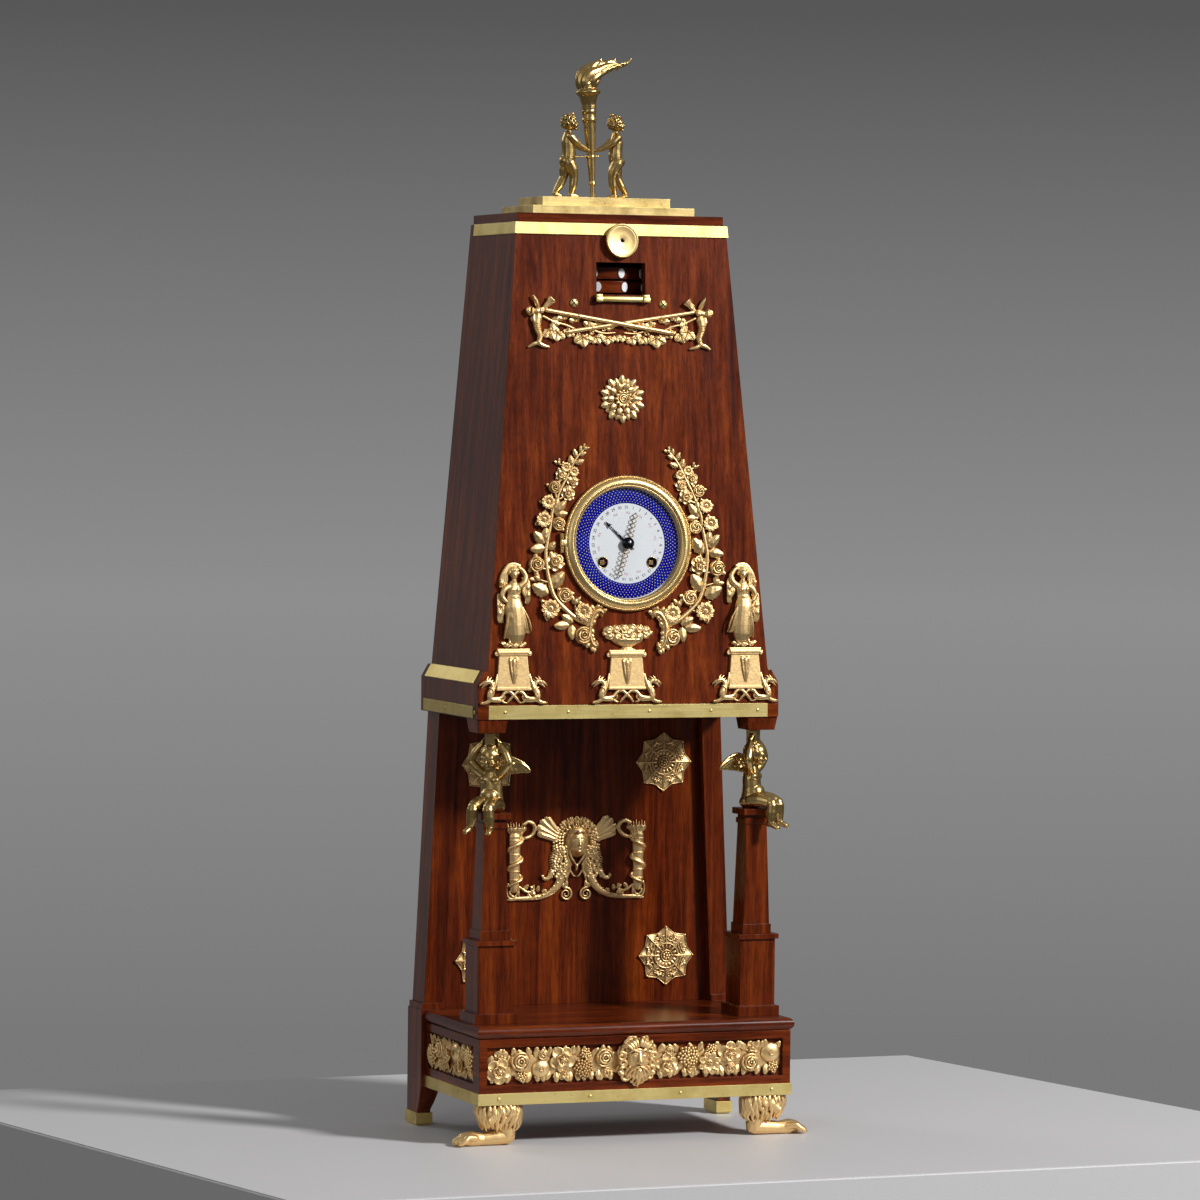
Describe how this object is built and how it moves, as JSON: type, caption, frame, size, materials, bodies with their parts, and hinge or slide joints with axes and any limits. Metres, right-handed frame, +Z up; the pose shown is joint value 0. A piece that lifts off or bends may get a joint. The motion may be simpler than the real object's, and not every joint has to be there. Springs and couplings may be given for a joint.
{
  "type": "pyramid mantel clock",
  "caption": "Mahogany pyramid mantel clock with gilt mounts, an open gallery on square pillars, lion paws, an enamel dial, number rings in a window and a torch with two putti on top",
  "frame": {"origin": "on the floor under the middle of the clock's bounding box", "axes": "+X to the right as seen from the front, +Y to the back, +Z up; the dial looks along -Y and a little upwards"},
  "size_m": [0.309, 0.18, 0.8798],
  "materials": {
    "mahogany": "polished",
    "ebonised_wood": "satin",
    "gilt_bronze": "satin",
    "brass": "brushed",
    "steel": "brushed",
    "blued_steel": "polished",
    "enamel": "glossy",
    "glass": "clear"
  },
  "bodies": {
    "case": {"base_carcass": "mahogany", "base_top_board": "mahogany", "base_band": "gilt_bronze", "frieze_panels": "gilt_bronze", "base_mask": "gilt_bronze", "lion_paws": "gilt_bronze", "rear_posts": "mahogany", "rear_shoes": "gilt_bronze", "gallery_panel": "mahogany", "gallery_stars": "gilt_bronze", "sun_mask_mount": "gilt_bronze", "front_plinths": "mahogany", "front_shafts": "mahogany", "seated_putti": "gilt_bronze", "corner_blocks": "mahogany", "case_floor": "mahogany", "case_front": "mahogany", "case_sides": "mahogany", "back_board": "mahogany", "cornice_board": "mahogany", "lower_bands": "gilt_bronze", "top_band": "gilt_bronze", "finial_slabs": "gilt_bronze", "torch": "gilt_bronze", "torch_putti": "gilt_bronze", "window_sill": "gilt_bronze", "ring_shelf": "ebonised_wood", "shelf_screws": "steel", "staff_garland": "gilt_bronze", "rosette": "gilt_bronze", "wreath_branches": "gilt_bronze", "altar_mount": "gilt_bronze", "side_pedestals": "gilt_bronze", "dancing_figures": "gilt_bronze", "dial_plate": "enamel", "bezel_hinge": "brass", "front_plate": "brass", "back_plate": "brass", "bell": "brass"},
    "going_barrel_body": {"going_barrel": "brass"},
    "minute_body": {"minute_hand": "blued_steel", "centre_wheel": "brass"},
    "hour_body": {"hour_hand": "blued_steel"},
    "motion_body": {"motion_wheel": "brass"},
    "third_body": {"third_wheel": "brass"},
    "escape_body": {"escape_wheel": "brass"},
    "strike_barrel_body": {"strike_barrel": "brass"},
    "date_body": {"date_hand": "blued_steel"},
    "pendulum_body": {"pendulum": "brass"},
    "anchor_body": {"anchor": "steel"},
    "hammer_body": {"bell_hammer": "steel"},
    "bezel_body": {"bezel": "gilt_bronze", "bezel_glass": "glass"},
    "door_body": {"back_door": "mahogany", "door_knob": "brass"},
    "lower_ring_body": {"lower_ring": "mahogany", "lower_cartouches": "enamel"},
    "upper_ring_body": {"upper_ring": "mahogany", "upper_cartouches": "enamel"},
    "knob_body": {"turning_knob": "gilt_bronze"}
  },
  "joints": [
    {"name": "barrel_turn", "type": "hinge", "parent": "case", "child": "going_barrel_body", "pos_m": [-0.02125, -0.00916, 0.463], "axis": [0, -0.997, 0.077], "continuous": true},
    {"name": "minute_turn", "type": "hinge", "parent": "case", "child": "minute_body", "pos_m": [0, -0.04486, 0.4813], "axis": [0, -0.997, 0.077], "continuous": true},
    {"name": "hour_turn", "type": "hinge", "parent": "case", "child": "hour_body", "pos_m": [0, -0.04586, 0.48138], "axis": [0, -0.997, 0.077], "continuous": true},
    {"name": "motion_turn", "type": "hinge", "parent": "case", "child": "motion_body", "pos_m": [0, -0.0398, 0.46887], "axis": [0, -0.997, 0.077], "continuous": true},
    {"name": "third_turn", "type": "hinge", "parent": "case", "child": "third_body", "pos_m": [-0.00761, -0.02067, 0.49579], "axis": [0, -0.997, 0.077], "continuous": true},
    {"name": "escape_turn", "type": "hinge", "parent": "case", "child": "escape_body", "pos_m": [0, -0.02379, 0.50734], "axis": [0, -0.997, 0.077], "continuous": true},
    {"name": "strike_turn", "type": "hinge", "parent": "case", "child": "strike_barrel_body", "pos_m": [0.02125, -0.0311, 0.46469], "axis": [0, -0.997, 0.077], "continuous": true},
    {"name": "date_turn", "type": "hinge", "parent": "case", "child": "date_body", "pos_m": [0, -0.04586, 0.48138], "axis": [0, -0.997, 0.077], "continuous": true},
    {"name": "pendulum_swing", "type": "hinge", "parent": "case", "child": "pendulum_body", "pos_m": [0, 0.00984, 0.52079], "axis": [0, -1, 0], "range_deg": [-4, 4]},
    {"name": "anchor_rock", "type": "hinge", "parent": "case", "child": "anchor_body", "pos_m": [0, -0.02306, 0.51681], "axis": [0, -0.997, 0.077], "range_deg": [-5.1, 5.1]},
    {"name": "hammer_lift", "type": "hinge", "parent": "case", "child": "hammer_body", "pos_m": [0.03, -0.00267, 0.50813], "axis": [0, 0.997, -0.077], "range_deg": [0, 12], "stiffness_Nm_per_rad": 0.01, "springref_deg": -17.19},
    {"name": "bezel_open", "type": "hinge", "parent": "case", "child": "bezel_body", "pos_m": [-0.0574, -0.04785, 0.48153], "axis": [0, -0.077, -0.997], "range_deg": [0, 95]},
    {"name": "door_open", "type": "hinge", "parent": "case", "child": "door_body", "pos_m": [-0.0472, 0.078, 0.5433], "axis": [0, 0, 1], "range_deg": [0, 95]},
    {"name": "lower_ring_turn", "type": "hinge", "parent": "case", "child": "lower_ring_body", "pos_m": [-0.0015, 0.02766, 0.6889], "axis": [0, 0, 1], "continuous": true},
    {"name": "upper_ring_turn", "type": "hinge", "parent": "case", "child": "upper_ring_body", "pos_m": [-0.0015, 0.02766, 0.7001], "axis": [0, 0, 1], "continuous": true},
    {"name": "knob_turn", "type": "hinge", "parent": "case", "child": "knob_body", "pos_m": [-0.0015, -0.02599, 0.7257], "axis": [0, -0.997, 0.077], "continuous": true}
  ],
  "couplings": [
    {"joint": "minute_turn", "follows": "barrel_turn", "ratio": -6},
    {"joint": "hour_turn", "follows": "barrel_turn", "ratio": -0.5},
    {"joint": "motion_turn", "follows": "barrel_turn", "ratio": 2},
    {"joint": "third_turn", "follows": "barrel_turn", "ratio": 48},
    {"joint": "escape_turn", "follows": "barrel_turn", "ratio": -360},
    {"joint": "anchor_rock", "follows": "pendulum_swing", "ratio": 1.2653}
  ]
}
